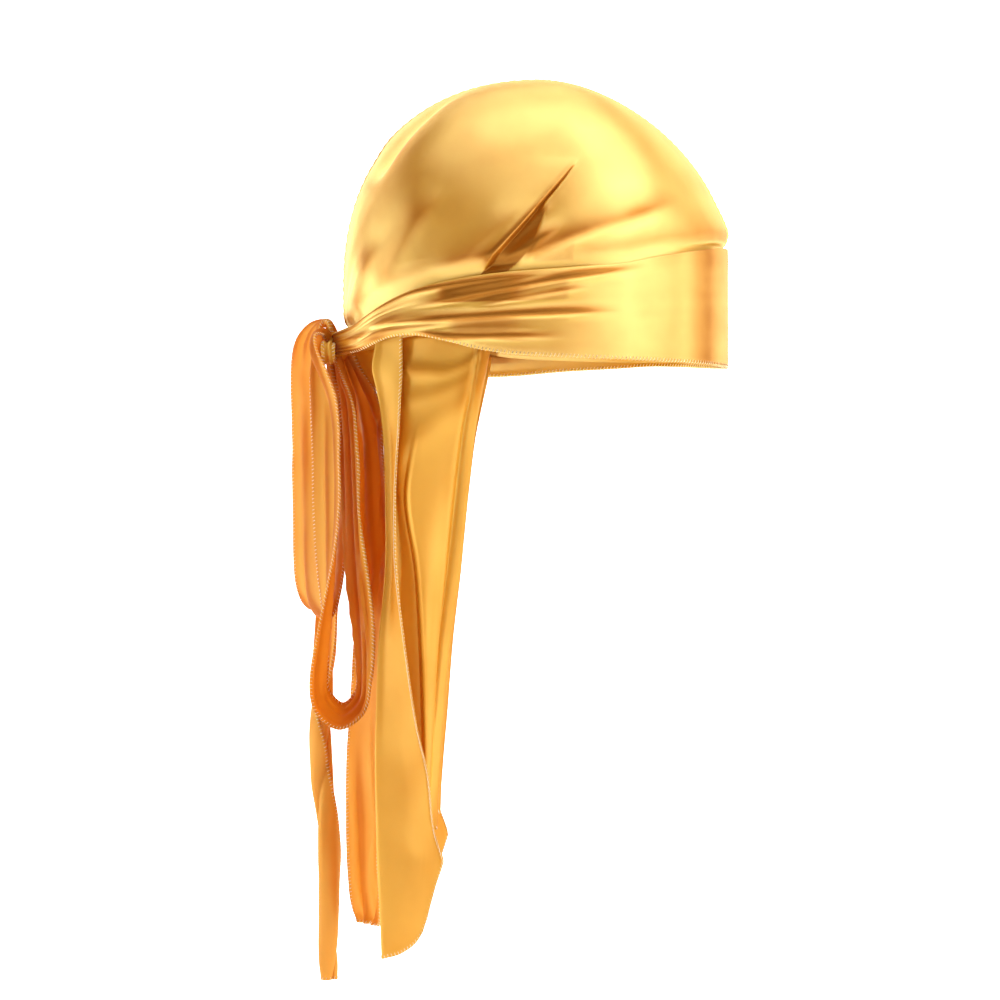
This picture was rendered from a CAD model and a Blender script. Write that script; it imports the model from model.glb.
"""Looks of a golden satin durag, tied as it is worn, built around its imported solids.

The shapes are worked out in millimetres, in the frame of the solids: X forward,
Y to the wearer's left, Z up, with the origin in the middle of the head opening.
Meshes are written in metres.
"""

import logging
import math
from dataclasses import dataclass, field
from enum import Enum
from typing import Callable, Sequence

import bmesh
import bpy
import numpy as np
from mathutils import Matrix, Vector

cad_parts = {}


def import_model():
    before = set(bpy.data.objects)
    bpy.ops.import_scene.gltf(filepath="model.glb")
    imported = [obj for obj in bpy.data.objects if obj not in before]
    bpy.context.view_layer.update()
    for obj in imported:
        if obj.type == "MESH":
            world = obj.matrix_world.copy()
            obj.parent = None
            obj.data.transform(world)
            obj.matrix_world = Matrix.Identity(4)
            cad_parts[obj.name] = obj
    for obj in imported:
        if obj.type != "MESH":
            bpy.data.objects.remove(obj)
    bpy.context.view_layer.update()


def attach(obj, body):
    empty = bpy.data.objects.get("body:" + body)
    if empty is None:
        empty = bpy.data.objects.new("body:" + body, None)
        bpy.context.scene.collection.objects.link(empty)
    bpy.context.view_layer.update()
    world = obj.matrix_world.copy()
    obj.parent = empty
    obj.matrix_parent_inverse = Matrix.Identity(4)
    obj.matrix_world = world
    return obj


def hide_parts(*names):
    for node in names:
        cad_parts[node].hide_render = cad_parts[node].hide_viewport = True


LOG = logging.getLogger("durag")
MM = 0.001
BODY = "root"
# Blender's wave texture runs 20 radians a unit at scale 1, so this scale gives one line a unit.
ONE_LINE_A_UNIT = 0.314
SAME_POINT_M = 1e-7

Grid = np.ndarray
Surface = Callable[[Grid, Grid], Grid]


class Side(Enum):
    """Side of the head, as the sign of Y."""

    NEAR = -1
    FAR = 1


def smooth(low: float, high: float, value: Grid) -> Grid:
    """Eased step from 0 at low to 1 at high.

    Args:
        low: where the step starts.
        high: where the step ends.
        value: places to read.

    Returns:
        The step's height at each place.
    """
    t = np.clip((value - low) / (high - low), 0.0, 1.0)
    return t * t * (3.0 - 2.0 * t)


def ripple(x: Grid, y: Grid, seed: int) -> Grid:
    """Seeded smooth noise from -1 to 1 with one hump per unit.

    Args:
        x: first coordinate.
        y: second coordinate.
        seed: choice of pattern.

    Returns:
        The noise at each place.
    """
    xi, yi = np.floor(x).astype(np.int64), np.floor(y).astype(np.int64)

    def corner(i: Grid, j: Grid) -> Grid:
        """Height at one lattice corner."""
        mixed = (i * 374761393 + j * 668265263 + seed * 69069) & 0xFFFFFFFF
        mixed = ((mixed ^ (mixed >> 13)) * 1274126177) & 0xFFFFFFFF
        return ((mixed ^ (mixed >> 16)) & 0xFFFF) / 32767.5 - 1.0

    fx, fy = smooth(0.0, 1.0, x - xi), smooth(0.0, 1.0, y - yi)
    low = corner(xi, yi) * (1 - fx) + corner(xi + 1, yi) * fx
    high = corner(xi, yi + 1) * (1 - fx) + corner(xi + 1, yi + 1) * fx
    return low * (1 - fy) + high * fy


@dataclass(frozen=True)
class Table:
    """Rows of sizes under named columns, read smoothly between the rows."""

    key: str
    columns: str
    rows: Sequence[Sequence[float]]

    def values(self) -> dict[str, Grid]:
        """Every column as an array."""
        data = np.array(self.rows, dtype=float)
        return {name: data[:, i] for i, name in enumerate(self.columns.split())}

    def at(self, places: Grid) -> dict[str, Grid]:
        """Reads every column at places along the key column.

        Args:
            places: values of the key column.

        Returns:
            Each column's value at each place.
        """
        return read_between(self.values(), self.key, places)


def curve_between(keys: Grid, pick: Callable[[Grid], Grid], places: Grid) -> Grid:
    """Smooth curve through one value a key.

    Args:
        keys: the rising keys.
        pick: gives the values at keys by their numbers.
        places: where to read, between the first and the last key.

    Returns:
        The curve's value at each place.
    """
    last = len(keys) - 1
    at = np.clip(places, keys[0], keys[last])
    i = np.clip(np.searchsorted(keys, at, side="right") - 1, 0, last - 1)
    span = keys[i + 1] - keys[i]
    t = (at - keys[i]) / span

    def slope(k: Grid) -> Grid:
        """Slope of the curve at keys by their numbers."""
        low, high = np.maximum(k - 1, 0), np.minimum(k + 1, last)
        return (pick(high) - pick(low)) / (keys[high] - keys[low])

    return ((1 + 2 * t) * (1 - t) ** 2 * pick(i) + t * (1 - t) ** 2 * span * slope(i)
            + t * t * (3 - 2 * t) * pick(i + 1) + t * t * (t - 1) * span * slope(i + 1))


def read_between(columns: dict[str, Grid], key: str, places: Grid) -> dict[str, Grid]:
    """Smooth reading of named columns between their rows.

    Args:
        columns: the columns, one array each.
        key: the rising column that places are read against.
        places: where to read.

    Returns:
        Each column's value at each place.
    """
    return {name: curve_between(columns[key], column.__getitem__, places)
            for name, column in columns.items()}


def with_shares(columns: dict[str, Grid]) -> dict[str, Grid]:
    """Adds each row's share of the length of the line through the rows.

    Args:
        columns: the columns, with the points of the line under x, y and z.

    Returns:
        The columns with one more, named share.
    """
    points = np.stack([columns["x"], columns["y"], columns["z"]], axis=1)
    travelled = np.concatenate([[0.0], np.cumsum(np.linalg.norm(np.diff(points, axis=0), axis=1))])
    return {**columns, "share": travelled / travelled[-1]}


def unit(vectors: Grid) -> Grid:
    """Vectors scaled to length one."""
    return vectors / np.maximum(np.linalg.norm(vectors, axis=-1, keepdims=True), 1e-9)


def srgb(code: int, alpha: float = 1.0) -> tuple[float, float, float, float]:
    """Turns an sRGB hex value into a linear colour.

    Args:
        code: the colour as 0xRRGGBB.
        alpha: opacity.

    Returns:
        Linear red, green, blue and alpha.
    """
    parts = [((code >> shift) & 255) / 255 for shift in (16, 8, 0)]
    linear = [c / 12.92 if c <= 0.04045 else ((c + 0.055) / 1.055) ** 2.4 for c in parts]
    return (*linear, alpha)


def add_node(tree: bpy.types.NodeTree, kind: str, settings: dict | None = None,
             inputs: dict | None = None) -> bpy.types.Node:
    """Adds a shader node with its settings, values and links.

    Args:
        tree: node tree that gets the node.
        kind: Blender's type name of the node.
        settings: properties of the node.
        inputs: socket values, or output sockets to link to them.

    Returns:
        The new node.
    """
    node = tree.nodes.new(kind)
    for name, value in (settings or {}).items():
        setattr(node, name, value)
    for name, value in (inputs or {}).items():
        if isinstance(value, bpy.types.NodeSocket):
            tree.links.new(value, node.inputs[name])
        else:
            node.inputs[name].default_value = value
    return node


def new_material(name: str) -> tuple[bpy.types.Material, bpy.types.NodeTree]:
    """Makes an empty node material.

    Args:
        name: name of the material.

    Returns:
        The material and its node tree.
    """
    material = bpy.data.materials.new(name)
    material.use_nodes = True
    material.node_tree.nodes.clear()
    return material, material.node_tree


def show(tree: bpy.types.NodeTree, shader: bpy.types.NodeSocket) -> None:
    """Ends a material's tree with its output.

    Args:
        tree: node tree.
        shader: the finished shader's socket.
    """
    add_node(tree, "ShaderNodeOutputMaterial", {}, {"Surface": shader})


def ramp(tree: bpy.types.NodeTree, factor: bpy.types.NodeSocket,
         stops: Sequence[tuple[float, tuple]]) -> bpy.types.NodeSocket:
    """Colour ramp through the given stops.

    Args:
        tree: node tree.
        factor: socket that drives the ramp.
        stops: place and linear colour of each stop.

    Returns:
        The colour socket.
    """
    node = add_node(tree, "ShaderNodeValToRGB", inputs={"Fac": factor})
    elements = node.color_ramp.elements
    while len(elements) < len(stops):
        elements.new(0.5)
    for element, (place, colour) in zip(elements, stops):
        element.position = place
        element.color = colour
    return node.outputs["Color"]


@dataclass(frozen=True)
class SatinFinish:
    """Polyester satin, woven with long floats: a soft, slightly directional gloss on
    gold cloth so thin that light from behind makes it glow orange.

    Colours run from pale on the ridges over gold to amber and smoke in the folds.
    """

    name: str
    gold: int = 0xE2A22A
    pale: int = 0xF0B43C
    amber: int = 0xC06A14
    smoke: int = 0x8C500C
    smoke_share: float = 0.85
    glow: int = 0xF59622
    roughness: float = 0.26
    gloss: float = 0.42
    gloss_tint: int = 0xFFE896
    gloss_in_folds: int = 0xB07C34
    see_through: float = 0.26
    # Real satin has about eight floats a millimetre. They are drawn a third of a
    # millimetre apart, because finer lines don't show at this distance.
    float_spacing_mm: float = 0.33
    float_shade: float = 0.08
    crease_size_mm: float = 26.0
    crease_shade: float = 0.22
    crease_to_float_relief: float = 3.0
    relief_mm: float = 0.2
    relief_strength: float = 0.18
    lengthwise: float = 0.35

    def build(self) -> bpy.types.Material:
        """Makes the material.

        Returns:
            The finished material.
        """
        material, tree = new_material(self.name)
        weave_map = add_node(tree, "ShaderNodeUVMap", {"uv_map": "weave"})
        object_map = add_node(tree, "ShaderNodeTexCoord")
        # UV counts millimetres of cloth.
        floats = add_node(
            tree, "ShaderNodeTexWave", {"wave_type": "BANDS", "bands_direction": "Y"},
            {"Vector": weave_map.outputs["UV"], "Scale": ONE_LINE_A_UNIT / self.float_spacing_mm,
             "Distortion": 0.6, "Detail": 1.0, "Detail Scale": 2.0},
        )
        cloudy = add_node(
            tree, "ShaderNodeTexNoise", {},
            {"Vector": object_map.outputs["Object"], "Scale": 1.0 / (self.crease_size_mm * MM),
             "Detail": 3.0, "Roughness": 0.55},
        )
        hollow = add_node(tree, "ShaderNodeAttribute", {"attribute_name": "hollow"})
        depth = add_node(
            tree, "ShaderNodeMath", {"operation": "MULTIPLY_ADD"},
            {0: cloudy.outputs["Fac"], 1: self.crease_shade, 2: hollow.outputs["Fac"]},
        )
        dyed = ramp(tree, depth.outputs["Value"], [
            (0.12, srgb(self.pale)), (0.5, srgb(self.gold)), (0.95, srgb(self.amber)),
        ])
        deepest = add_node(
            tree, "ShaderNodeMapRange", {"interpolation_type": "SMOOTHSTEP"},
            {"Value": depth.outputs["Value"], "From Min": 0.82, "From Max": 1.12,
             "To Max": self.smoke_share},
        )
        dulled = add_node(
            tree, "ShaderNodeMix", {"data_type": "RGBA"},
            {"Factor": deepest.outputs["Result"], 6: dyed, 7: srgb(self.smoke)},
        )
        threaded = add_node(
            tree, "ShaderNodeMix", {"data_type": "RGBA", "blend_type": "MULTIPLY"},
            {"Factor": self.float_shade, 6: dulled.outputs[2], 7: floats.outputs["Color"]},
        )
        relief = add_node(
            tree, "ShaderNodeMath", {"operation": "MULTIPLY_ADD"},
            {0: cloudy.outputs["Fac"], 1: self.crease_to_float_relief, 2: floats.outputs["Fac"]},
        )
        bump = add_node(
            tree, "ShaderNodeBump", {},
            {"Height": relief.outputs["Value"], "Strength": self.relief_strength,
             "Distance": self.relief_mm * MM},
        )
        grain = add_node(tree, "ShaderNodeTangent",
                         {"direction_type": "UV_MAP", "uv_map": "weave"})
        face = add_node(
            tree, "ShaderNodeBsdfPrincipled", {},
            {"Base Color": threaded.outputs[2], "Roughness": 0.45, "Specular IOR Level": 0.1,
             "Sheen Weight": 0.04, "Sheen Roughness": 0.35, "Sheen Tint": srgb(0xFFE9A8),
             "Normal": bump.outputs["Normal"], "Tangent": grain.outputs["Tangent"]},
        )
        # What a narrow fold reflects is mostly its own other wall, so its gloss is gold-brown.
        walled = ramp(tree, depth.outputs["Value"], [
            (0.62, srgb(self.gloss_tint)), (0.98, srgb(self.gloss_in_folds)),
        ])
        floats_gloss = add_node(
            tree, "ShaderNodeBsdfAnisotropic", {},
            {"Color": walled, "Roughness": self.roughness, "Anisotropy": self.lengthwise,
             "Normal": bump.outputs["Normal"], "Tangent": grain.outputs["Tangent"]},
        )
        glossy = add_node(
            tree, "ShaderNodeMixShader", {},
            {"Fac": self.gloss, 1: face.outputs["BSDF"], 2: floats_gloss.outputs["BSDF"]},
        )
        through = add_node(
            tree, "ShaderNodeBsdfTranslucent", {},
            {"Color": srgb(self.glow), "Normal": bump.outputs["Normal"]},
        )
        mixed = add_node(
            tree, "ShaderNodeMixShader", {},
            {"Fac": self.see_through, 1: glossy.outputs["Shader"], 2: through.outputs["BSDF"]},
        )
        show(tree, mixed.outputs["Shader"])
        return material


@dataclass(frozen=True)
class ThreadFinish:
    """Overlock thread of textured polyester: matt, pale and a little hairy."""

    name: str
    colour: int = 0xFFE8BC
    shade: int = 0xF2C474
    roughness: float = 0.7
    strands_per_m: float = 900.0
    relief_mm: float = 0.1

    def build(self) -> bpy.types.Material:
        """Makes the material.

        Returns:
            The finished material.
        """
        material, tree = new_material(self.name)
        place = add_node(tree, "ShaderNodeTexCoord")
        strands = add_node(
            tree, "ShaderNodeTexNoise", {},
            {"Vector": place.outputs["Object"], "Scale": self.strands_per_m, "Detail": 2.0},
        )
        dyed = ramp(tree, strands.outputs["Fac"],
                    [(0.3, srgb(self.shade)), (0.6, srgb(self.colour))])
        bump = add_node(
            tree, "ShaderNodeBump", {},
            {"Height": strands.outputs["Fac"], "Strength": 0.3, "Distance": self.relief_mm * MM},
        )
        face = add_node(
            tree, "ShaderNodeBsdfPrincipled", {},
            {"Base Color": dyed, "Roughness": self.roughness, "Sheen Weight": 0.3,
             "Sheen Roughness": 0.5, "Normal": bump.outputs["Normal"]},
        )
        show(tree, face.outputs["BSDF"])
        return material


@dataclass(frozen=True)
class PaperFinish:
    """White background paper of a photo studio: matt, and lit from behind where it
    hangs behind the object."""

    name: str = "studio_paper"
    colour: int = 0xFFFFFF
    fill_in_front: float = 0.32
    fill_behind: float = 1.3
    turns_bright_from_m: float = 0.1
    turns_bright_to_m: float = 0.5

    def build(self) -> bpy.types.Material:
        """Makes the material.

        Returns:
            The finished material.
        """
        material, tree = new_material(self.name)
        place = add_node(tree, "ShaderNodeTexCoord")
        split = add_node(tree, "ShaderNodeSeparateXYZ", {}, {"Vector": place.outputs["Object"]})
        fill = add_node(
            tree, "ShaderNodeMapRange", {"interpolation_type": "SMOOTHSTEP"},
            {"Value": split.outputs["Y"], "From Min": self.turns_bright_from_m,
             "From Max": self.turns_bright_to_m, "To Min": self.fill_in_front,
             "To Max": self.fill_behind},
        )
        face = add_node(
            tree, "ShaderNodeBsdfPrincipled", {},
            {"Base Color": srgb(self.colour), "Roughness": 0.95, "Specular IOR Level": 0.0,
             "Emission Color": srgb(self.colour), "Emission Strength": fill.outputs["Result"]},
        )
        show(tree, face.outputs["BSDF"])
        return material


def bent_grid(points: Grid, weave: Grid | None = None,
              hollow: Grid | None = None) -> bmesh.types.BMesh:
    """Grid of quads laid through given points.

    Args:
        points: one point in mm for each corner of the grid.
        weave: place of each corner on the cloth, in mm, for the UV map.
        hollow: how deep each corner lies in a fold, for the finish.

    Returns:
        The open builder.
    """
    columns, rows = points.shape[0] - 1, points.shape[1] - 1
    builder = bmesh.new()
    weave_layer = None if weave is None else builder.loops.layers.uv.new("weave")
    hollow_layer = None if hollow is None else builder.verts.layers.float.new("hollow")
    bmesh.ops.create_grid(builder, x_segments=columns, y_segments=rows, size=0.5)
    corners = {}
    for vertex in builder.verts:
        i, j = round((vertex.co.x + 0.5) * columns), round((vertex.co.y + 0.5) * rows)
        corners[vertex] = (i, j)
        vertex.co = Vector(points[i, j]) * MM
        if hollow is not None:
            vertex[hollow_layer] = float(hollow[i, j])
    if weave is not None:
        for loop in (loop for face in builder.faces for loop in face.loops):
            loop[weave_layer].uv = weave[corners[loop.vert]]
    return builder


def smooth_mesh(builder: bmesh.types.BMesh, name: str) -> bpy.types.Mesh:
    """Writes a builder as a mesh of smooth faces and frees it.

    Args:
        builder: the faces, in metres.
        name: name of the mesh.

    Returns:
        The mesh.
    """
    for face in builder.faces:
        face.smooth = True
    mesh = bpy.data.meshes.new(name)
    builder.to_mesh(mesh)
    builder.free()
    return mesh


def close_rims(builder: bmesh.types.BMesh) -> None:
    """Joins a rolled-up grid where its sides meet and closes its open ends.

    Args:
        builder: the grid.
    """
    bmesh.ops.remove_doubles(builder, verts=builder.verts, dist=SAME_POINT_M)
    rims = [edge for edge in builder.edges if edge.is_boundary]
    bmesh.ops.holes_fill(builder, edges=rims, sides=0)
    turn_outward(builder)


def turn_outward(builder: bmesh.types.BMesh) -> None:
    """Turns the faces of a closed body outward, once its moved corners are counted in."""
    builder.normal_update()
    bmesh.ops.recalc_face_normals(builder, faces=builder.faces)


@dataclass
class Cloth:
    """A sheet that is worked out on a grid, thickened and given its finish."""

    name: str
    node: str
    columns: int
    rows: int
    surface: Surface
    finish: bpy.types.Material
    slot: str
    relief: Callable[[Grid, Grid], Grid] | None = None
    tucked: Callable[[Grid, Grid], Grid] | None = None
    thickness_mm: float = 0.6
    hollow_reach: int = 7
    hollow_full_mm: float = 1.6
    points: Grid = field(default=None, repr=False)
    normals: Grid = field(default=None, repr=False)

    def work_out(self) -> None:
        """Finds the middle face of the cloth and its normals, folds included."""
        u, v = np.meshgrid(np.linspace(0, 1, self.columns + 1), np.linspace(0, 1, self.rows + 1),
                           indexing="ij")
        points = self.surface(u, v)
        normals = self.face_normals(points)
        if self.relief is not None:
            points = points + normals * self.relief(u, v)[..., None]
            normals = self.face_normals(points)
        self.points, self.normals = points, normals

    def face_normals(self, points: Grid) -> Grid:
        """Normals of a grid of points, repaired where a row shrinks to one point."""
        along, across = np.gradient(points, axis=0), np.gradient(points, axis=1)
        return unit(np.cross(along, across))

    def hollows(self) -> Grid:
        """How deep each point lies in a fold, from 0 on a ridge to 1 in a valley.

        Returns:
            One value a grid point.
        """
        blurred = self.points.copy()
        for axis in (0, 1):
            total, weight = blurred * 0, 0
            for step in range(-self.hollow_reach, self.hollow_reach + 1):
                index = np.clip(np.arange(blurred.shape[axis]) + step, 0, blurred.shape[axis] - 1)
                total, weight = total + np.take(blurred, index, axis=axis), weight + 1
            blurred = total / weight
        depth = np.sum((blurred - self.points) * self.normals, axis=-1)
        value = np.clip(0.5 + 0.5 * depth / self.hollow_full_mm, 0, 1)
        if self.tucked is not None:
            u, v = np.meshgrid(*(np.linspace(0, 1, n) for n in value.shape), indexing="ij")
            value = np.maximum(value, self.tucked(u, v))
        return value

    def flat_lengths(self) -> tuple[float, float]:
        """Greatest length of the cloth along its columns and along its rows, in mm."""
        along = np.linalg.norm(np.diff(self.points, axis=0), axis=-1).sum(axis=0).max()
        across = np.linalg.norm(np.diff(self.points, axis=1), axis=-1).sum(axis=1).max()
        return float(along), float(across)

    def build(self) -> bpy.types.Object:
        """Makes the cloth's object, which stands for its solid.

        Returns:
            The finished object.
        """
        self.work_out()
        length, width = self.flat_lengths()
        lengthwise, crosswise = np.meshgrid(np.arange(self.columns + 1) / self.columns * length,
                                            np.arange(self.rows + 1) / self.rows * width,
                                            indexing="ij")
        builder = bent_grid(self.points, np.stack([lengthwise, crosswise], axis=-1),
                            self.hollows())
        bmesh.ops.remove_doubles(builder, verts=builder.verts, dist=SAME_POINT_M)
        piece = add_piece(self.name, smooth_mesh(builder, self.name), self.finish)
        wall = piece.modifiers.new("wall", "SOLIDIFY")
        wall.thickness = self.thickness_mm * MM
        wall.offset = 0.0
        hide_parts(self.node)
        LOG.info("%s: %.0f x %.0f mm of cloth", self.name, length, width)
        return piece

    def edge(self, which: str, start: float = 0.0, end: float = 1.0) -> tuple[Grid, Grid, Grid]:
        """One edge of the cloth, with the way into the cloth and its normals.

        Args:
            which: "first" or "last" row, or "left" or "right" column.
            start: share of the edge where the stretch starts.
            end: share of the edge where it ends.

        Returns:
            Points, inward directions and normals along the edge.
        """
        p, n = self.points, self.normals
        line, inner, normal = {
            "first": (p[:, 0], p[:, 2], n[:, 1]),
            "last": (p[:, -1], p[:, -3], n[:, -2]),
            "left": (p[0], p[2], n[1]),
            "right": (p[-1], p[-3], n[-2]),
        }[which]
        low, high = int(start * (len(line) - 1)), int(math.ceil(end * (len(line) - 1))) + 1
        return line[low:high], unit(inner - line)[low:high], normal[low:high]


def add_piece(name: str, mesh: bpy.types.Mesh, finish: bpy.types.Material) -> bpy.types.Object:
    """Links a mesh as a piece that rides on the durag's one body.

    Args:
        name: name of the piece.
        mesh: its mesh, in metres in the frame of the solids.
        finish: its material.

    Returns:
        The object.
    """
    mesh.materials.append(finish)
    piece = bpy.data.objects.new(name, mesh)
    bpy.context.scene.collection.objects.link(piece)
    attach(piece, BODY)
    return piece


def tube_mesh(name: str, path: Grid, radius_mm: float, sides: int) -> bpy.types.Mesh:
    """Round thread along a path, closed at both ends.

    Args:
        name: name of the mesh.
        path: points along the middle of the thread, in mm.
        radius_mm: half the thread's thickness.
        sides: faces round the thread.

    Returns:
        The mesh, in metres.
    """
    along = unit(np.gradient(path, axis=0))
    helper = np.where(np.abs(along[:, 2:3]) < 0.9, np.array([[0.0, 0.0, 1.0]]),
                      np.array([[1.0, 0.0, 0.0]]))
    first = unit(np.cross(along, helper))
    second = np.cross(along, first)
    turn = 2 * np.pi * (np.arange(sides + 1) % sides)[None, :, None] / sides
    rings = first[:, None] * np.cos(turn) + second[:, None] * np.sin(turn)
    builder = bent_grid(path[:, None] + rings * radius_mm)
    close_rims(builder)
    return smooth_mesh(builder, name)


@dataclass
class Overlock:
    """Thread that is wound round a raw edge of the cloth."""

    finish: bpy.types.Material
    pitch_mm: float = 1.9
    reach_mm: float = 1.8
    stand_off_mm: float = 0.5
    thread_mm: float = 0.42
    steps: int = 6
    sides: int = 3

    def path(self, edge: tuple[Grid, Grid, Grid]) -> Grid:
        """Line of the thread along an edge.

        Args:
            edge: points, inward directions and normals along the edge.

        Returns:
            Points along the thread, in mm.
        """
        points, inward, normals = edge
        travelled = np.concatenate([[0.0],
                                    np.cumsum(np.linalg.norm(np.diff(points, axis=0), axis=1))])
        stitches = max(2, round(travelled[-1] / self.pitch_mm))
        places = np.linspace(0, travelled[-1], stitches * self.steps + 1)

        def read(values: Grid) -> Grid:
            """Values of the edge at the places of the thread."""
            return np.stack([np.interp(places, travelled, values[:, k]) for k in range(3)], axis=1)

        turn = np.arange(len(places)) / self.steps * 2 * np.pi
        depth = (0.5 - 0.56 * np.cos(turn)) * self.reach_mm
        lift = np.sin(turn) * self.stand_off_mm
        return (read(points) + unit(read(inward)) * depth[:, None]
                + unit(read(normals)) * lift[:, None])

    def sew(self, name: str, edges: Sequence[tuple[Grid, Grid, Grid]]) -> bpy.types.Object:
        """Sews edges of one cloth.

        Args:
            name: name of the piece.
            edges: the edges, each as Cloth.edge gives it.

        Returns:
            The piece of thread.
        """
        builder = bmesh.new()
        for edge in edges:
            thread = tube_mesh(name, self.path(edge), self.thread_mm / 2, self.sides)
            builder.from_mesh(thread)
            bpy.data.meshes.remove(thread)
        return add_piece(name, smooth_mesh(builder, name), self.finish)


def fold_relief(folds: Sequence[Sequence[float]], angle: Grid, z: Grid, reach: float) -> Grid:
    """Sum of straight folds over the unrolled dome.

    Args:
        folds: rows of start angle and height, end angle and height, width, rise and
            how much narrower the steep side is, with angles in degrees.
        angle: angle from the front, in radians.
        z: height in mm.
        reach: mm of cloth per radian.

    Returns:
        Height of the folds, in mm.
    """
    total = np.zeros_like(z)
    for from_angle, from_height, to_angle, to_height, width, rise, steep in folds:
        start = math.radians(from_angle) * reach
        run_s, run_z = math.radians(to_angle) * reach - start, to_height - from_height
        length = math.hypot(run_s, run_z)
        ds, dz = angle * reach - start, z - from_height
        along = (ds * run_s + dz * run_z) / length / length
        across = (dz * run_s - ds * run_z) / length
        half = np.where(across < 0, width * steep, width)
        fade = smooth(-0.1, 0.3, along) * (1 - smooth(0.85, 1.15, along))
        total += rise * fade * np.exp(-((across / half) ** 2))
    return total


@dataclass
class Dome:
    """Sizes of the dome that the head gives, shared by the crown and the ties."""

    front_reach: float = 95.4
    back_reach: float = 100.8
    half_width: float = 79.0
    height: float = 148.0
    plan_power: float = 2.2
    nape_tuck: float = 5.0
    nape_height: float = 35.0
    pressed_in: float = 1.6
    clear_of_band: float = 1.0
    under_band: float = 1 / 6
    arc: float = 135.0
    tuck_under: float = 5.0
    folds_start_over: float = 9.0
    knot_height: float = 12.0
    shoulders: tuple = ((61.0, 1.74), (55.0, 2.2), (46.0, 2.19))
    band: Table = Table("angle", "angle lower far_lower upper", (
        (0, -1, -1, 60), (20, -0.8, 0.6, 59), (45, 0, 2.8, 53.5), (60, 0.5, 2, 48.8),
        (80, 1.5, 0.6, 46),
        (100, 3, -1.8, 44), (112, 5.5, -2, 42.2), (124, 10, 1.5, 39.4), (134, 13, 6.5, 36),
        (142, 13, 9, 32), (150, 10.5, 9, 27), (160, 6.5, 6.5, 20), (176, 5.5, 5.5, 16),
    ))

    def plan(self, angle: Grid) -> Grid:
        """Reach of the bare dome at its foot, by angle from the front."""
        c = np.cos(angle)
        reach = np.where(c > 0, self.front_reach, self.back_reach)
        lengthwise = np.abs(c / reach) ** self.plan_power
        crosswise = np.abs(np.sin(angle) / self.half_width) ** self.plan_power
        return (lengthwise + crosswise) ** (-1 / self.plan_power)

    def shoulder(self, angle: Grid) -> tuple[Grid, Grid]:
        """Height where the wall curves in, and the power of the curve."""
        c = np.cos(angle)
        front, side, back = self.shoulders
        ends = [np.where(c > 0, front[k], back[k]) for k in (0, 1)]
        return tuple(side[k] + (ends[k] - side[k]) * c * c for k in (0, 1))

    def radius(self, angle: Grid, z: Grid) -> Grid:
        """Distance of the bare dome from its upright axis."""
        height, power = self.shoulder(angle)
        low = np.maximum(0, 1 - z / self.nape_height)
        tuck = self.nape_tuck * np.maximum(0, -np.cos(angle)) ** 4 * np.minimum(1, low * low)
        share = np.clip((z - height) / (self.height - height), 0, 1)
        curve = np.maximum(0, 1 - share**power) ** (1 / power)
        return self.plan(angle) * curve - np.where(z <= height, tuck, 0)

    def edges(self, angle: Grid) -> dict[str, Grid]:
        """Lower and upper edge of the band at angles in radians."""
        return self.band.at(np.degrees(np.abs(angle)))

    def bare(self, angle: Grid, z: Grid) -> Grid:
        """Share of the crown's folds that shows above the band."""
        return smooth(0.0, self.folds_start_over,
                      z - self.edges(angle)["upper"] - self.clear_of_band)

    def crown_height(self, angle: Grid, rise: Grid) -> Grid:
        """Height at a share of the way from the crown's hem to its top."""
        shoulder, power = self.shoulder(angle)
        edges = self.edges(angle)
        hem, top = edges["lower"] + self.tuck_under, edges["upper"] + self.clear_of_band
        low = hem + (top - hem) * (rise / self.under_band)
        dome = self.height - shoulder
        wall = np.maximum(0, shoulder - top)
        first = np.arcsin((np.maximum(0, top - shoulder) / dome) ** (power / 2))
        arc = self.arc * (1 - first / (np.pi / 2))
        travelled = np.clip((rise - self.under_band) / (1 - self.under_band), 0, 1) * (wall + arc)
        climb = first + np.maximum(0, travelled - wall) / self.arc * (np.pi / 2)
        high = np.where(travelled < wall, top + travelled,
                        shoulder + dome * np.sin(np.minimum(climb, np.pi / 2)) ** (2 / power))
        return np.where(rise <= self.under_band, low, high)

    def place(self, angle: Grid, radius: Grid, z: Grid, side: Side) -> Grid:
        """Points from angle, radius and height on one side of the head."""
        return np.stack([radius * np.cos(angle), side.value * radius * np.sin(angle), z], axis=-1)

    def knot_rays(self, angle: Grid, z: Grid) -> tuple[Grid, Grid]:
        """Distance from the knot over the cloth, and the direction of that line."""
        ahead, above = (np.pi - angle) * self.half_width, z - self.knot_height
        return np.hypot(ahead, above), np.arctan2(above, ahead)


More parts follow.
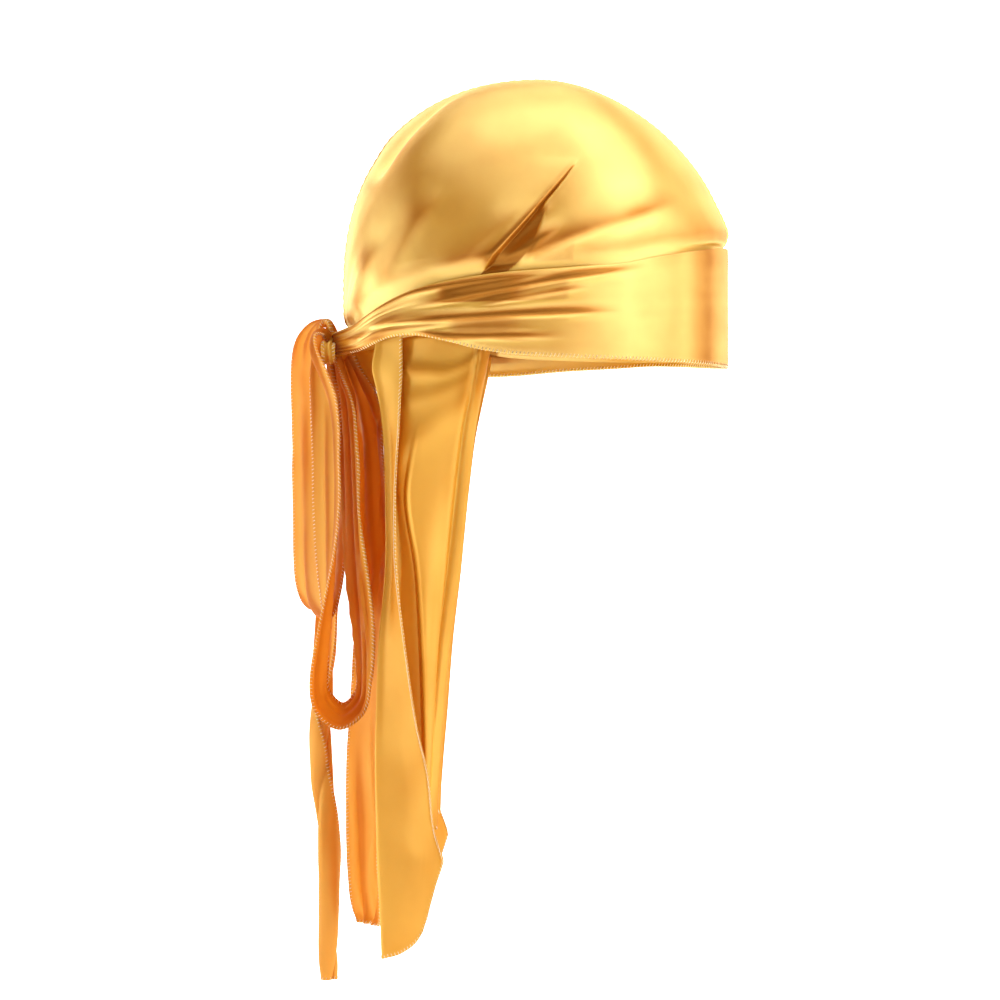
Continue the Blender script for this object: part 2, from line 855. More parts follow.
@dataclass
class Crown:
    """Two panels of satin over the head and the seam between them.

    Each row of folds holds start angle and height, end angle and height, width, rise
    and how much narrower the steep side is. Each row of the pleat holds a height, the
    angles of its ridge and of its floor's front, and the floor's depth and ridge's rise.
    """

    dome: Dome
    finish: bpy.types.Material
    seam_width: float = 2.6
    gap: float = 0.3
    seam_ease: float = 6.0
    folds: tuple = (
        (42, 82, 102, 50, 10, 2.6, 0.35),
        (88, 77, 112, 44, 6, 1.8, 0.4),
        (152, 139, 158, 96, 12, -3.4, 0.4),
        (150, 62, 160, 26, 9, 1.8, 0.6),
        (128, 84, 148, 40, 10, 1.8, 0.5),
        (97, 78, 124, 42, 7, 1.3, 0.6),
        (84, 66, 108, 46, 4, 1.4, 0.5),
        (177, 160, 177, 112, 10, 1.5, 1.0),
    )
    pleat: Table = Table("z", "z ridge front depth rise", (
        (38, 114.5, 106, 2.4, 1.4), (44.5, 111.5, 101.5, 3.0, 1.9), (48.5, 109, 98, 3.4, 2.2),
        (57, 103.6, 92.6, 3.8, 2.4), (65, 98.6, 90.8, 3.8, 2.4), (72, 94.4, 89, 3.4, 2.2),
        (77, 91.4, 89, 2.8, 2.0),
        (84, 87, 85, 2.4, 1.8), (90, 83, 81.3, 1.9, 1.4), (96, 79, 77.9, 1.1, 0.8),
        (101, 75.4, 74.8, 0.0, 0.0),
    ))

    def beside_pleat(self, angle: Grid, z: Grid) -> tuple[dict[str, Grid], Grid, Grid]:
        """Where a point lies beside the long pleat.

        Args:
            angle: angle from the front, in radians.
            z: height in mm.

        Returns:
            The pleat's sizes at that height, the distance behind its ridge in mm, and
            the way from the ridge to the front of its floor as a share.
        """
        row = self.pleat.at(z)
        per_degree = math.radians(self.dome.half_width)
        behind = (np.degrees(angle) - row["ridge"]) * per_degree
        width = np.maximum(0.5, (row["ridge"] - row["front"]) * per_degree)
        return row, behind, -behind / width

    def pleat_relief(self, angle: Grid, z: Grid) -> tuple[Grid, Grid]:
        """The long pleat: a crisp ridge over a hollow that closes towards its front.

        Args:
            angle: angle from the front, in radians.
            z: height in mm.

        Returns:
            Height of the ridge and depth of the floor, in mm.
        """
        row, behind, share = self.beside_pleat(angle, z)
        half = np.where(behind > 0, 20.0, 1.0)
        ridge = row["rise"] * np.exp(-((behind / half) ** 2))
        floor = smooth(0.0, 1.7, -behind) * np.clip(1.04 - share, 0, 1) ** 0.85
        return ridge, row["depth"] * floor

    def pleat_floor(self, angle: Grid, z: Grid) -> Grid:
        """How far the cloth is shut in under the pleat's ridge, from 0 to 1."""
        row, _, share = self.beside_pleat(angle, z)
        within = smooth(0.0, 0.06, share) * (1 - smooth(0.9, 1.02, share))
        degrees = np.degrees(angle)
        below_spike = z - (56.8 + (93 - degrees) * 0.43)
        spike = smooth(77.4, 79.0, degrees) * (1 - smooth(92, 97, degrees))
        spike = spike * smooth(47.5, 50.0, z) * (1 - smooth(-2.5, 0.5, below_spike))
        return np.maximum(0.95 * within * smooth(0.2, 1.2, row["depth"]), 0.6 * spike)

    def along_pleat(self, u: Grid, v: Grid) -> Grid:
        """Angle of each grid column, bent so that the columns run along the pleat's ridge."""
        dome, ridge_column = self.dome, 0.53
        ridge = np.radians(95.0) + 0 * v
        for _ in range(4):
            ridge = np.radians(self.pleat.at(dome.crown_height(ridge, v))["ridge"])
        even = np.pi * u + 0.175 * np.sin(2 * np.pi * u)
        middle = np.pi * ridge_column + 0.175 * np.sin(2 * np.pi * ridge_column)
        share = smooth(0.0, ridge_column, u) * (1 - smooth(ridge_column, 1.0, u))
        return even + (ridge - middle) * share

    def surface(self, side: Side) -> Surface:
        """Middle face of one panel."""

        def panel(u: Grid, v: Grid) -> Grid:
            """Point of the panel from front to back and from hem to top."""
            dome = self.dome
            angle = self.along_pleat(u, v)
            z = dome.crown_height(angle, v)
            bare = dome.bare(angle, z)
            flat = dome.radius(angle, z)
            distance, ray = dome.knot_rays(angle, z)
            gather = (ripple(ray * 5.5 + 20, distance / 70, 3 + side.value)
                      * np.exp(-((distance / 85) ** 2)) * 1.6)
            fine = (ripple(ray * 14 + 40, distance / 34, 11 + side.value)
                    * np.exp(-((distance / 60) ** 2)) * 0.5)
            soft = ripple(angle * 3.1 + 7, z / 38, 23 + side.value) * 0.45
            ridge, floor = self.pleat_relief(angle, z)
            folds = fold_relief(self.folds, angle, z, dome.half_width) + ridge
            relief = (folds + gather + fine + soft) * bare
            above_band = z - dome.edges(angle)["upper"] - dome.clear_of_band
            puff = (1.9 * smooth(0, 3, above_band) * (1 - smooth(6, 26, above_band))
                    * (1 - smooth(0.25, 0.9, angle)))
            relief = (relief - dome.pressed_in * (1 - bare) + puff
                      - floor * smooth(0, 3, above_band))
            points = dome.place(angle, flat + relief * np.minimum(1, flat / dome.half_width), z,
                                side)
            out = np.maximum(0, side.value * points[..., 1])
            clear = self.seam_width / 2 + self.gap
            points[..., 1] = side.value * (out + clear * np.exp(-out / self.seam_ease))
            return points

        return panel

    def panel(self, side: Side, name: str, node: str) -> Cloth:
        """Builds one panel.

        Args:
            side: side of the head.
            name: name of the piece.
            node: solid that it stands for.

        Returns:
            The cloth.
        """
        columns, rows = (280, 150) if side is Side.NEAR else (132, 84)

        def tucked(u: Grid, v: Grid) -> Grid:
            """Share by which the cloth of the panel is shut in at a point of its grid."""
            angle = self.along_pleat(u, v)
            return self.pleat_floor(angle, self.dome.crown_height(angle, v))

        cloth = Cloth(name, node, columns, rows, self.surface(side), self.finish, "satin",
                      tucked=tucked, hollow_full_mm=2.0)
        piece = cloth.build()
        return cloth

    def seam(self) -> bpy.types.Object:
        """Builds the raised, slightly puckered seam.

        Returns:
            The seam's piece.
        """
        near = self.surface(Side.NEAR)
        count = 150
        rise = np.linspace(0, 1, count)
        front = near(np.zeros(count), rise)
        back = near(np.ones(count), rise)[::-1][1:]
        path = np.concatenate([front, back])
        path[:, 1] = 0
        along = unit(np.gradient(path, axis=0))
        outward = np.stack([-along[:, 2], along[:, 1] * 0, along[:, 0]], axis=1)
        outward *= np.sign(np.sum(outward * (path - np.array([0, 0, 30.0])), axis=1,
                                  keepdims=True))
        angle = np.where(path[:, 0] > 0, 0.0, np.pi)
        lift = 0.6 + 0.9 * self.dome.bare(angle, path[:, 2])
        rib = Table("across", "across height", (
            (-1, -0.6), (-1, 0.4), (-0.62, 0.94), (0, 1.0), (0.62, 0.94), (1, 0.4), (1, -0.6),
            (-1, -0.6),
        )).values()
        pucker = 1 + 0.12 * np.sin(np.arange(len(path)) * 1.9)
        rises = (lift * pucker)[:, None] * rib["height"]
        points = path[:, None] + outward[:, None] * rises[..., None]
        points[..., 1] = rib["across"] * self.seam_width / 2
        builder = bent_grid(points, points[..., [0, 2]])
        close_rims(builder)
        mesh = smooth_mesh(builder, "centre_seam_piping")
        piece = add_piece("centre_seam_piping", mesh, self.finish)
        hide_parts("centre_seam")
        LOG.info("%s: %d points", piece.name, len(path))
        return piece


@dataclass
class Wrap:
    """A tie laid round the band from the forehead to the knot.

    Angles run from the front towards its own side. Its front end reaches past the front,
    over the other tie by one layer and a little lower. Rows of folds are as the crown's.
    """

    dome: Dome
    name: str
    node: str
    side: Side
    from_angle: float
    over: float
    drop: float
    finish: bpy.types.Material
    thread: Overlock
    to_angle: float = 177.0
    over_until: float = 26.0
    layer: float = 1.7
    lift: float = 7.0
    columns: int = 220
    rows: int = 72
    seed: int = 5
    folds: tuple = (
        (58, 47, 128, 29, 4.2, 2.1, 0.35),
        (66, 25, 150, 19, 4.2, 2.2, 0.35),
        (30, 57, 140, 34, 3.4, 1.5, 0.5),
        (84, 12, 156, 12, 3.2, 1.5, 0.5),
        (74, 37, 110, 28, 3.0, 1.2, 0.5),
        (118, 19, 160, 14, 2.4, 1.3, 0.6),
    )

    def surface(self, u: Grid, v: Grid) -> Grid:
        """Point of the wrap along its length and across its width."""
        dome = self.dome
        degrees = self.from_angle + (self.to_angle - self.from_angle) * u
        angle = np.radians(np.abs(degrees))
        edges = dome.edges(angle)
        upper = edges["upper"] - np.where(degrees < 0, self.drop, 0)
        on_far_side = self.side.value * degrees > 0
        lower = np.where(on_far_side, edges["far_lower"], edges["lower"])
        z = lower + (upper - lower) * v
        over = self.over * (1 - smooth(self.over_until, self.over_until + 14, degrees))
        reach_knot = self.lift * smooth(150, 176, degrees)
        rest = smooth(0, 0.08, v) * (1 - smooth(0.92, 1, v))
        shown = np.where(degrees < 0, 0, 1)
        strength = 0.12 + 0.5 * smooth(60, 130, degrees) + 1.6 * smooth(132, 166, degrees)
        gather = (0.5 + 0.5 * ripple(v * 6.5 + 3, degrees / 46, self.seed)) * strength
        fine = (0.5 + 0.5 * ripple(v * 15 + 9, degrees / 24, self.seed + 1)) * strength * 0.45
        relief = ((fold_relief(self.folds, angle, z, dome.half_width) + gather + fine)
                  * rest * shown)
        radius = dome.radius(angle, z) - dome.pressed_in + self.layer + over + reach_knot + relief
        signed = np.where(degrees < 0, -angle, angle)
        return np.stack([radius * np.cos(signed), self.side.value * radius * np.sin(signed), z],
                        axis=-1)

    def shut_in(self, u: Grid, v: Grid) -> Grid:
        """Where the gathers lie so close that their floors see each other, from 0 to 1."""
        degrees = self.from_angle + (self.to_angle - self.from_angle) * u
        fan = smooth(77, 82, degrees) * (0.62 + 0.35 * smooth(88, 106, degrees))
        upper = (smooth(0.6, 0.66, v) * (1 - smooth(0.94, 0.985, v))
                 * (1 - smooth(122, 133, degrees)))
        lower = (smooth(0.1, 0.18, v) * (1 - smooth(0.42, 0.48, v))
                 * (1 - smooth(118, 130, degrees)))
        between = (smooth(0.48, 0.54, v) * (1 - smooth(0.6, 0.66, v))
                   * (1 - smooth(108, 120, degrees)))
        return fan * np.maximum(upper, np.maximum(0.8 * lower, 0.6 * between))

    def build(self) -> Cloth:
        """Builds the wrap and the overlocked hem along its lower edge.

        Returns:
            The cloth.
        """
        cloth = Cloth(self.name, self.node, self.columns, self.rows, self.surface, self.finish,
                      "satin", tucked=self.shut_in, hollow_full_mm=0.9)
        piece = cloth.build()
        hem = self.thread.sew(self.name + "_hem_thread", [cloth.edge("first", 0.0, 0.93)])
        return cloth


RIBBON_COLUMNS = "x y z width turn lift curl"


@dataclass
class Ribbon:
    """A length of tie that hangs from the knot as a loop or an end.

    Each row of its table holds a point of its middle line in mm, its width as a share of
    the tie's, how its width is turned and lifted in degrees, and the rise of its edges.
    """

    name: str
    node: str
    table: tuple
    columns: int
    flat_mm: tuple
    finish: bpy.types.Material
    thread: Overlock
    slot: str
    held: str = "hung"
    rows: int = 34
    width: float = 34.0
    seed: int = 1
    gathers: float = 3.0
    gather_limit: float = 2.4
    slack_depth: float = 1.9
    crease_depth: float = 2.6
    twist_depth: float = 3.4
    roll_from: float = 2.0
    roll_over: float = 0.16
    roll_turns: float = 1.25
    roll_starts: float = 0.1
    roll_flatness: float = 0.85
    end_sewn: bool = False

    def line(self) -> dict[str, Grid]:
        """Middle line of the ribbon with its shares."""
        return with_shares(Table("share", RIBBON_COLUMNS, self.table).values())

    def surface(self, u: Grid, v: Grid) -> Grid:
        """Point of the ribbon along its length and across its width."""
        line = self.line()
        row = read_between(line, "share", u)
        ahead = read_between(line, "share", np.minimum(1, u + 2e-3))
        behind = read_between(line, "share", np.maximum(0, u - 2e-3))
        turn, lift = np.radians(row["turn"]), np.radians(row["lift"])
        across = np.stack([np.sin(turn) * np.cos(lift), np.cos(turn) * np.cos(lift), np.sin(lift)],
                          axis=-1)
        along = unit(np.stack([ahead[k] - behind[k] for k in "xyz"], axis=-1))
        bulge = unit(np.cross(across, along))
        w = v * 2 - 1
        centre = np.stack([row["x"], row["y"], row["z"]], axis=-1)
        half = row["width"] * self.width / 2
        rolled = smooth(self.roll_from, self.roll_from + self.roll_over, u)
        spiral = (v + self.roll_starts) * self.roll_turns * 2 * np.pi
        reach = half * (0.5 + 0.5 * v)
        side = half * w * (1 - rolled) + reach * np.cos(spiral) * rolled
        rise = (row["curl"] * (w * w - 0.4) * (1 - rolled)
                + reach * self.roll_flatness * np.sin(spiral) * rolled)
        return centre + across * side[..., None] + bulge * rise[..., None]

    def relief(self, u: Grid, v: Grid) -> Grid:
        """Pleats where the cloth is drawn together, and lengthwise folds where it hangs."""
        row = read_between(self.line(), "share", u)
        rolled = smooth(self.roll_from, self.roll_from + self.roll_over, u)
        drawn = np.sqrt(np.clip(1 - row["width"] ** 2, 0, 1))
        depth = np.minimum(self.gather_limit, drawn * self.width / (4 * self.gathers) * 0.8)
        wander = ripple(u * 7.0, v * 1.2 + 4, self.seed) * 1.1
        pleat = np.sin(2 * np.pi * self.gathers * v + wander) * depth * (1 - rolled)
        fold = ripple(v * 4.2 + u * 1.5 + 5, u * 3.6, self.seed + 2) * self.slack_depth
        ridged = 1 - np.abs(ripple(v * 2.3 - u * 2.0 + 8, u * 4.5, self.seed + 5))
        crease = (ridged ** 3 - 0.25) * self.crease_depth
        loose = smooth(0.5, 0.85, row["width"]) * (1 - rolled)
        dimple = ripple(v * 3.0 + 1, u * 26.0, self.seed + 9) * 0.22
        twist = ((1 - np.abs(np.sin(np.pi * (self.roll_turns * v + 4.2 * u)))) ** 2
                 * rolled * self.twist_depth)
        return pleat + (fold + crease) * loose + dimple - twist

    def build(self) -> Cloth:
        """Builds the ribbon with thread along its edges.

        Returns:
            The cloth.
        """
        cloth = Cloth(self.name, self.node, self.columns, self.rows, self.surface, self.finish,
                      self.slot, relief=self.relief, hollow_full_mm=0.8)
        piece = cloth.build()
        edges = [cloth.edge("first"), cloth.edge("last")]
        if self.end_sewn:
            edges.append(cloth.edge("right"))
        thread = self.thread.sew(self.name + "_edge_thread", edges)
        return cloth


OUTER_LOOP = (
    (-107, 2, 16, 0.4, 0, 0, 1), (-110.5, 5, 23.2, 0.6, -6, 0, 1.2),
    (-116.8, 10.5, 22.6, 0.8, -16, 0, 1.2), (-121.6, 15, 14.5, 0.95, -25, 0, 1.2),
    (-122.8, 16.5, 0, 1, -27, 0, 2), (-122.4, 17, -30, 1, -28, 0, 2),
    (-121.8, 17.5, -80, 1, -29, 0, 2),
    (-121.2, 17.5, -108, 1, -28, 3, 1.5), (-119.4, 17.5, -124, 1, -25, 6, 0.5),
    (-115.4, 18, -129.5, 1, -22, 6, 0), (-111, 18, -121, 1, -24, 3, 0),
    (-107.4, 18, -84, 1, -29, 0, 0.5),
    (-106.6, 17, -46, 0.97, -29, 0, 0.5), (-107.2, 14, -20, 0.8, -24, 0, 0.5),
    (-108.6, 8.5, -5, 0.45, -12, 0, 0.5), (-109, 5.5, 6, 0.3, 0, 0, 0.5),
)
LONG_LOOP = (
    (-108.6, -5, 13, 0.28, 0, 0, 0.5), (-110.8, -9, 17.2, 0.42, 8, 0, 0.8),
    (-113.8, -13, 16, 0.58, 14, 0, 1), (-115, -15, 8.5, 0.74, 4, 0, 1),
    (-113.4, -15.8, -3, 0.88, -14, 0, 1.2), (-110.8, -15.8, -18, 0.96, -25, 0, 1.5),
    (-109.6, -15.8, -45, 0.96, -27, 0, 2), (-109.4, -15.8, -80, 0.96, -25, 0, 2),
    (-110, -15.8, -110, 0.96, -12, 4, 2), (-111.2, -15.5, -138, 0.96, 6, 12, 1.5),
    (-112.4, -15, -159, 0.96, 14, 18, 1.2), (-111.2, -15, -172, 0.96, 8, 20, 0.8),
    (-102.5, -15, -180, 0.96, 0, 20, 0), (-93.5, -15, -172.5, 0.96, -10, 20, 0.8),
    (-91.8, -15, -157, 0.96, -19, 18, 1.5), (-92.8, -15.5, -130, 0.96, -23, 10, 2),
    (-95.2, -15.8, -98, 0.94, -21, 4, 1.5), (-97, -15.6, -66, 0.92, -17, 0, 1),
    (-98, -15, -40, 0.9, -16, 0, 0.8), (-99.4, -12.8, -18, 0.8, -18, 0, 0.6),
    (-102.6, -8.6, -5, 0.52, -12, 0, 0.5), (-104.8, -5.4, 5, 0.28, 0, 0, 0.5),
)
MIDDLE_END = (
    (-100.4, 4.8, 6, 0.42, -38, 0, 0.5), (-96.6, 8.8, -4, 0.62, -38, 0, 1),
    (-92.8, 13.8, -16, 0.92, -32, 0, 1.5), (-89.7, 16.4, -38, 1, -28, 0, 2.5),
    (-87.4, 17, -70, 1, -30, 0, 3), (-87.4, 17, -115, 1, -30, 0, 3),
    (-89.4, 17, -160, 1, -32, 0, 3),
    (-91.6, 17, -210, 1, -37, 0, 3.5), (-91.4, 17, -255, 1, -37, 0, 3),
    (-90.8, 17, -276, 1, -34, 0, 2),
    (-90.4, 17, -287, 0.88, -32, 0, 1), (-90.2, 17, -292, 0.6, -32, 0, 0.5),
)
LEFT_END = (
    (-105.2, 6.5, 7, 0.26, 0, 0, 0.5), (-104.8, 11, -5, 0.4, -8, 0, 0.5),
    (-105, 20, -20, 0.6, -14, 0, 0.5), (-108, 31, -45, 0.82, -18, 0, 1),
    (-110.6, 37.5, -72, 0.95, -20, 0, 1.5), (-112.4, 39.5, -115, 0.95, -21, 0, 2),
    (-113.8, 38, -155, 0.74, -25, 0, 4), (-115, 36.5, -190, 0.52, -46, 0, 5.5),
    (-114.4, 36, -225, 0.46, -95, 0, 6), (-112.6, 35.5, -258, 0.46, -150, 0, 6),
    (-112.2, 35, -290, 0.46, -205, 0, 5), (-112, 35, -312, 0.46, -235, 0, 3),
    (-111.6, 35, -324, 0.34, -245, 0, 0.5),
)
KNOT_LOOP = (
    (-109, -8.5, 9, 0.18, 84, 0, 0.5), (-109.2, -14, 11.6, 0.2, 84, 0, 0.5),
    (-109.2, -20, 11, 0.21, 86, 0, 0.5), (-109.2, -22.5, 6.5, 0.21, 88, 0, 0.5),
    (-108.8, -19.5, 2.4, 0.2, 90, 0, 0.5), (-108.4, -13.5, 2, 0.18, 90, 0, 0.5),
    (-108, -9, 4.6, 0.16, 90, 0, 0.5),
)


@dataclass
class Knot:
    """The knot, a tight wad of the two ties crossed over each other."""

    finish: bpy.types.Material
    centre: tuple = (-106.4, 0.0, 10.0)
    half: tuple = (7.3, 12.5, 8.6)
    columns: int = 96
    rows: int = 64
    groove_share: float = 0.1
    windings: int = 3
    slant: float = 2.2
    fullness: float = 0.2

    def build(self) -> bpy.types.Object:
        """Builds the knot.

        Returns:
            The knot's piece.
        """
        builder = bmesh.new()
        weave = builder.loops.layers.uv.new("weave")
        hollow_layer = builder.verts.layers.float.new("hollow")
        bmesh.ops.create_uvsphere(builder, u_segments=self.columns, v_segments=self.rows,
                                  radius=1.0)
        for vertex in builder.verts:
            x, y, z = vertex.co.y, vertex.co.z, vertex.co.x
            turn, tip = math.atan2(z, x), math.acos(max(-1.0, min(1.0, y)))
            bands = self.windings * turn + self.slant * math.cos(tip)
            crossing = math.sin(9 * turn + 14 * y) * 0.35 + math.sin(17 * y - 4 * turn) * 0.25
            groove = math.cos(bands) * 0.7 + crossing * 0.5
            scale = 1 - self.groove_share * (groove * 0.5 + 0.5)
            wide = max(1e-6, math.hypot(x, z)) ** -self.fullness
            place = [
                self.centre[0] + self.half[0] * x * wide * scale,
                self.centre[1] + self.half[1] * y,
                self.centre[2] + self.half[2] * z * wide * scale,
            ]
            vertex.co = Vector(place) * MM
            vertex[hollow_layer] = 0.45 + 0.35 * groove
        for loop in (loop for face in builder.faces for loop in face.loops):
            loop[weave].uv = (loop.vert.co.y / MM, loop.vert.co.z / MM)
        turn_outward(builder)
        piece = add_piece("knot_of_satin", smooth_mesh(builder, "knot_of_satin"), self.finish)
        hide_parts("knot")
        LOG.info("%s: %.0f mm wide", piece.name, 2 * self.half[1])
        return piece


@dataclass
class TailFlap:
    """The cape that hangs from the nape, folded on itself on both sides."""

    finish: bpy.types.Material
    thread: Overlock
    fold_round: float = 4.4
    fold_flatness: float = 0.55
    back_flatness: float = 2.6
    columns: int = 360
    rows: int = 130
    swags: Table = Table("lowest", "lowest at width depth climb", (
        (0.066, 0.38, 0.011, 1.7, 3.2), (0.112, 0.33, 0.016, 1.3, 2.3),
        (0.2, 0.26, 0.035, 1.5, 2.2),
    ))
    levels: Table = Table("z", "z edge_x edge_y rear_x rear_y out_x out_y fold_x fold_y "
                               "in_x in_y back_x", (
        (-300, -47, 62, -79.5, 50, -56, 50, -54, 40, -63, 27, -74),
        (-250, -48.6, 62, -82, 49.4, -57.6, 49.4, -53.8, 39.4, -63, 26.4, -74),
        (-234, -53.4, 62, -82.5, 49, -58, 49, -53.4, 39, -63, 26, -74),
        (-206, -56.5, 61.5, -83.5, 48, -58.5, 49, -51.8, 38, -62.5, 25, -74),
        (-182, -62.5, 61, -83.5, 48, -59, 49, -49.8, 38, -62, 25, -74),
        (-142, -69, 61, -82.5, 47, -60.5, 49, -46.4, 38, -60, 25, -74),
        (-104, -73, 60, -79.5, 46, -63, 49, -41.4, 39, -58, 25, -74),
        (-68, -73, 57, -79.4, 46, -68, 48.5, -37.3, 42, -57, 27, -74.2),
        (-36, -71.5, 56, -80.4, 46, -63, 52, -33.6, 50, -56, 34, -76.5),
        (-13, -70.5, 55, -83.4, 44.5, -58, 57, -29.4, 62, -57, 45, -84.2),
        (-3, -70, 54.5, -85.4, 44, -57, 58.5, -27.4, 65.5, -57.5, 48, -91),
        (8, -70, 54.5, -83.8, 44, -55, 60, -26, 69, -58, 51, -96.5),
    ))
    hems: Table = Table("across", "across z top", (
        (0, -250, 15.5), (0.012, -263, 15.5), (0.028, -286, 15.2), (0.05, -296, 14.8),
        (0.08, -299.5, 14),
        (0.12, -299.5, 12), (0.2, -290, 12), (0.35, -262, 13.5), (0.5, -240, 9), (0.56, -236, 8),
        (0.62, -236, 8), (0.8, -247, 8), (1, -262, 8),
    ))
    stations: tuple = (0, 0.07, 0.12, 0.17, 0.35, 0.5, 0.56, 0.62, 0.76, 0.88, 1)

    def half(self, across: Grid, down: Grid) -> Grid:
        """Point of the near half, across from its free edge and down from its top."""
        ends = self.hems.at(across)
        z = ends["top"] + (ends["z"] - ends["top"]) * down
        row = self.levels.at(z)
        r = self.fold_round
        lean = r * self.fold_flatness
        xs = [row["edge_x"], row["rear_x"] + r, row["rear_x"], row["rear_x"] + r, row["out_x"],
              row["fold_x"] - r, row["fold_x"], row["fold_x"] - r, row["in_x"],
              (row["in_x"] + 2 * row["back_x"]) / 3, row["back_x"]]
        ys = [-row["edge_y"], -row["rear_y"] - lean, -row["rear_y"], -row["rear_y"] + lean,
              -row["out_y"],
              -row["fold_y"] - lean, -row["fold_y"], -row["fold_y"] + lean, -row["in_y"],
              -row["in_y"] / self.back_flatness, row["in_y"] * 0]
        x, y = self.through(xs, across), self.through(ys, across)
        return np.stack([x, np.minimum(0, y), z], axis=-1)

    def through(self, values: Sequence[Grid], across: Grid) -> Grid:
        """Smooth value across the flap through one value a station."""
        stack = np.stack(values)

        def pick(k: Grid) -> Grid:
            """Value of each place's own station."""
            return np.take_along_axis(stack, k[None], axis=0)[0]

        return curve_between(np.array(self.stations, dtype=float), pick, across)

    def surface(self, u: Grid, v: Grid) -> Grid:
        """Point of the whole flap from its near to its far free edge."""
        across = np.where(u < 0.5, u * 2, (1 - u) * 2)
        points = self.half(across, v)
        points[..., 1] = np.where(u > 0.5, -points[..., 1], points[..., 1])
        return points

    def relief(self, u: Grid, v: Grid) -> Grid:
        """Long soft waves down the cloth, swags under the band and crumpled hems."""
        across = np.where(u < 0.5, u * 2, (1 - u) * 2)
        waves = ripple(u * 34 + v * 2, v * 2.4, 31) * 0.6 + ripple(u * 15 + 5, v * 3.4, 37) * 0.8
        waves = waves * smooth(0.02, 0.12, v)
        panel = smooth(0.2, 0.28, across) * (1 - smooth(0.52, 0.56, across))
        swags = np.zeros_like(u)
        for lowest, lowest_at, width, depth, climb in self.swags.rows:
            beside = across - lowest_at
            line = lowest - np.where(beside > 0, climb, 0.9) * beside**2
            swags -= depth * np.exp(-(((v - line) / width) ** 2))
        wedge = (smooth(0.17, 0.22, across) * (1 - smooth(0.335, 0.35, across))
                 * smooth(0.18, 0.4, v))
        crease = np.exp(-(((across - 0.352) / 0.008) ** 2)) * smooth(0.12, 0.3, v)
        stripe = np.exp(-(((across - 0.492) / 0.01) ** 2)) * (1 - smooth(0.6, 0.85, v))
        hem = np.sin(u * 118 + 2) * smooth(0.93, 1.0, v) * 0.5
        return waves + swags * panel + wedge * 2.6 - crease * 1.1 + stripe * 2.2 + hem

    def build(self) -> Cloth:
        """Builds the flap with thread along its free edges and hem.

        Returns:
            The cloth.
        """
        cloth = Cloth("tail_flap_satin", "tail_flap", self.columns, self.rows, self.surface,
                      self.finish, "satin", relief=self.relief, hollow_full_mm=2.4)
        piece = cloth.build()
        thread = self.thread.sew("tail_flap_edge_thread", [
            cloth.edge("left"), cloth.edge("right"), cloth.edge("last"),
        ])
        return cloth


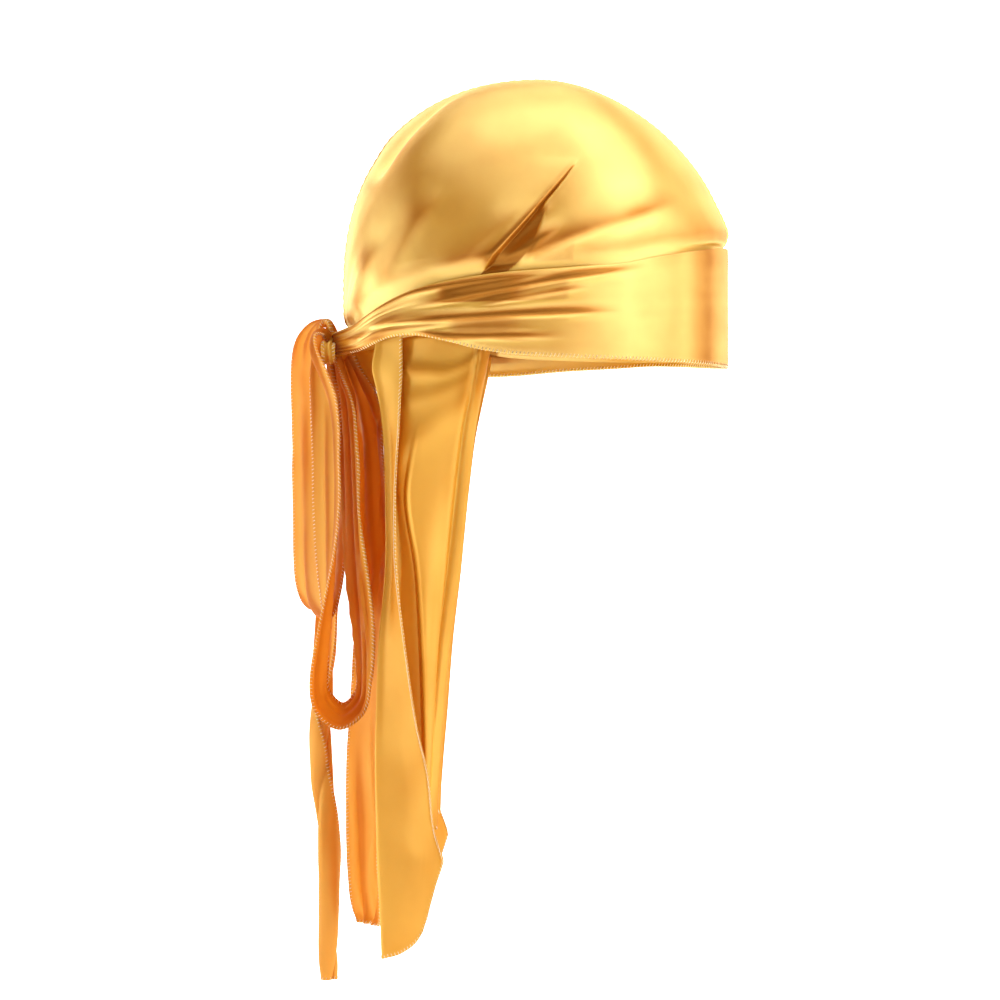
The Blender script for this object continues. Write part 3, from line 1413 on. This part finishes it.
@dataclass
class Studio:
    """White paper sweep, soft lights and the camera of the product photo.

    Each softbox has a name, an azimuth from the camera's side to the right, an
    elevation, a distance, a width and height, and a brightness, as add_softbox says.
    """

    camera_place: tuple = (-0.0208, -1.6, -0.0692)
    view_width: float = 0.52
    air_brightness: float = 0.15
    floor_height: float = -0.345
    paper_width: float = 8.0
    paper_depth: float = 3.0
    paper_rise: float = 4.0
    paper_steps: int = 48
    corner: float = 1.0
    middle: tuple = (-0.02, 0.0, -0.06)
    softboxes: tuple = (
        ("key_softbox", 50, 24, 1.7, (1.5, 2.3), 2.8),
        ("right_softbox", 106, 22, 1.7, (2.3, 1.8), 1.1),
        ("top_softbox", 20, 84, 1.6, (2.0, 1.9), 2.5),
        ("back_left_softbox", -135, 15, 1.7, (1.7, 1.9), 1.3),
        ("left_softbox", -85, 8, 1.6, (0.9, 0.9), 1.8),
        ("low_kicker", -86, -17, 0.8, (0.75, 0.42), 2.4),
    )

    def add_camera(self) -> None:
        """Sets the camera level with the middle of the object, square to its side."""
        data = bpy.data.cameras.new("photo_camera")
        data.sensor_fit = "HORIZONTAL"
        data.angle = 2 * math.atan(self.view_width / 2 / abs(self.camera_place[1]))
        data.clip_end = 60
        camera = bpy.data.objects.new("photo_camera", data)
        camera.location = self.camera_place
        camera.rotation_euler = (math.radians(90), 0, 0)
        bpy.context.scene.collection.objects.link(camera)
        bpy.context.scene.camera = camera

    def add_paper(self, finish: bpy.types.Material) -> None:
        """Lays the paper as a floor that curves up behind the object."""
        straight, quarter = self.paper_depth * 2, self.corner * math.pi / 2
        run = np.linspace(0, straight + quarter + self.paper_rise, self.paper_steps + 1)
        turn = np.clip((run - straight) / self.corner, 0, math.pi / 2)
        back = np.minimum(run, straight) - self.paper_depth + np.sin(turn) * self.corner
        climb = np.maximum(0, run - straight - quarter)
        height = self.floor_height + (1 - np.cos(turn)) * self.corner + climb
        across = np.array([-0.5, 0, 0.5]) * self.paper_width
        points = np.stack(np.broadcast_arrays(across[:, None], back, height), axis=-1)
        mesh = smooth_mesh(bent_grid(points / MM), "studio_sweep")
        mesh.materials.append(finish)
        sweep = bpy.data.objects.new("studio_sweep", mesh)
        bpy.context.scene.collection.objects.link(sweep)

    def add_softbox(self, name: str, azimuth: float, elevation: float, distance: float,
                    size: tuple, brightness: float) -> None:
        """Adds one softbox that faces the object.

        Args:
            name: name of the light.
            azimuth: degrees round the object from the camera's side, to the right.
            elevation: degrees above the object's middle.
            distance: metres from the object's middle.
            size: width and height in metres.
            brightness: how bright its face is, with white paper in full light as 1.
        """
        turn, climb = math.radians(azimuth), math.radians(elevation)
        outward = Vector((math.sin(turn) * math.cos(climb), -math.cos(turn) * math.cos(climb),
                          math.sin(climb)))
        data = bpy.data.lights.new(name, "AREA")
        data.shape = "RECTANGLE"
        data.size, data.size_y = size
        data.energy = math.pi * size[0] * size[1] * brightness
        light = bpy.data.objects.new(name, data)
        light.location = Vector(self.middle) + outward * distance
        light.rotation_euler = (-outward).to_track_quat("-Z", "Y").to_euler()
        bpy.context.scene.collection.objects.link(light)

    def build(self) -> None:
        """Builds the whole studio."""
        self.add_camera()
        self.add_paper(PaperFinish().build())
        world = bpy.data.worlds.new("studio_air")
        world.use_nodes = True
        air = world.node_tree.nodes["Background"]
        air.inputs["Color"].default_value = srgb(0xFFFFFF)
        air.inputs["Strength"].default_value = self.air_brightness
        bpy.context.scene.world = world
        for softbox in self.softboxes:
            self.add_softbox(*softbox)
        scene = bpy.context.scene
        scene.view_settings.view_transform = "Standard"
        scene.view_settings.look = "None"


def main() -> None:
    """Builds the durag around its frame, part by part."""
    logging.basicConfig(level=logging.INFO, format="%(name)s: %(message)s")
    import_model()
    Studio().build()
    dome = Dome()
    # Stretched satin mirrors the softboxes as broad bands of light, and its folds go brown.
    stretched = SatinFinish("golden_polyester_satin_stretched", see_through=0.06).build()
    # Hanging satin is softer, and glows a little where light comes through it.
    satin = SatinFinish("golden_polyester_satin", gold=0xE6AA32, pale=0xEEBC46, amber=0xD68C1C,
                        smoke=0xC8781A,
                        smoke_share=0.3, glow=0xF0B24C, gloss=0.28, gloss_tint=0xFFDA7A,
                        roughness=0.34, see_through=0.36).build()
    # The crumpled ties are more orange, because light passes them several times.
    deep = SatinFinish("golden_polyester_satin_in_folds", gold=0xE6A030, pale=0xEEB042,
                       amber=0xD88422, smoke=0xC66A1C, smoke_share=0.35, glow=0xF6B454, gloss=0.18,
                       gloss_tint=0xFFDA7A, roughness=0.36, see_through=0.48).build()
    # Matt cream thread sets off each raw edge from the shiny cloth.
    overlock = Overlock(ThreadFinish("cream_overlock_thread").build())
    crown = Crown(dome, stretched)
    crown.seam()
    crown.panel(Side.NEAR, "crown_right_panel", "crown_right")
    crown.panel(Side.FAR, "crown_left_panel", "crown_left")
    Wrap(dome, "wrap_right_band", "wrap_right", Side.NEAR, -30, 1.7, 3, stretched,
         overlock).build()
    Wrap(dome, "wrap_left_band", "wrap_left", Side.FAR, -22, 0, 4, stretched, overlock,
         over_until=0, columns=160, rows=48, seed=15).build()
    Knot(deep).build()
    Ribbon("knot_loop_ribbon", "knot_loop", KNOT_LOOP, 40, (47, 10), satin, overlock, "satin_pale",
           held="folded", rows=16, seed=41, gathers=2, gather_limit=0.7).build()
    Ribbon("bow_loop_outer_ribbon", "bow_loop_outer", OUTER_LOOP, 260, (340, 34), deep, overlock,
           "satin_deep", seed=43).build()
    Ribbon("bow_loop_long_ribbon", "bow_loop_long", LONG_LOOP, 300, (400, 34), deep, overlock,
           "satin", seed=47).build()
    Ribbon("tie_end_middle_ribbon", "tie_end_middle", MIDDLE_END, 220, (300, 34), deep, overlock,
           "satin", seed=53, end_sewn=True).build()
    Ribbon("tie_end_left_ribbon", "tie_end_left", LEFT_END, 260, (330, 34), deep, overlock,
           "satin", seed=59, end_sewn=True, roll_from=0.48, rows=44).build()
    TailFlap(satin, overlock).build()


if __name__ == "__main__":
    main()
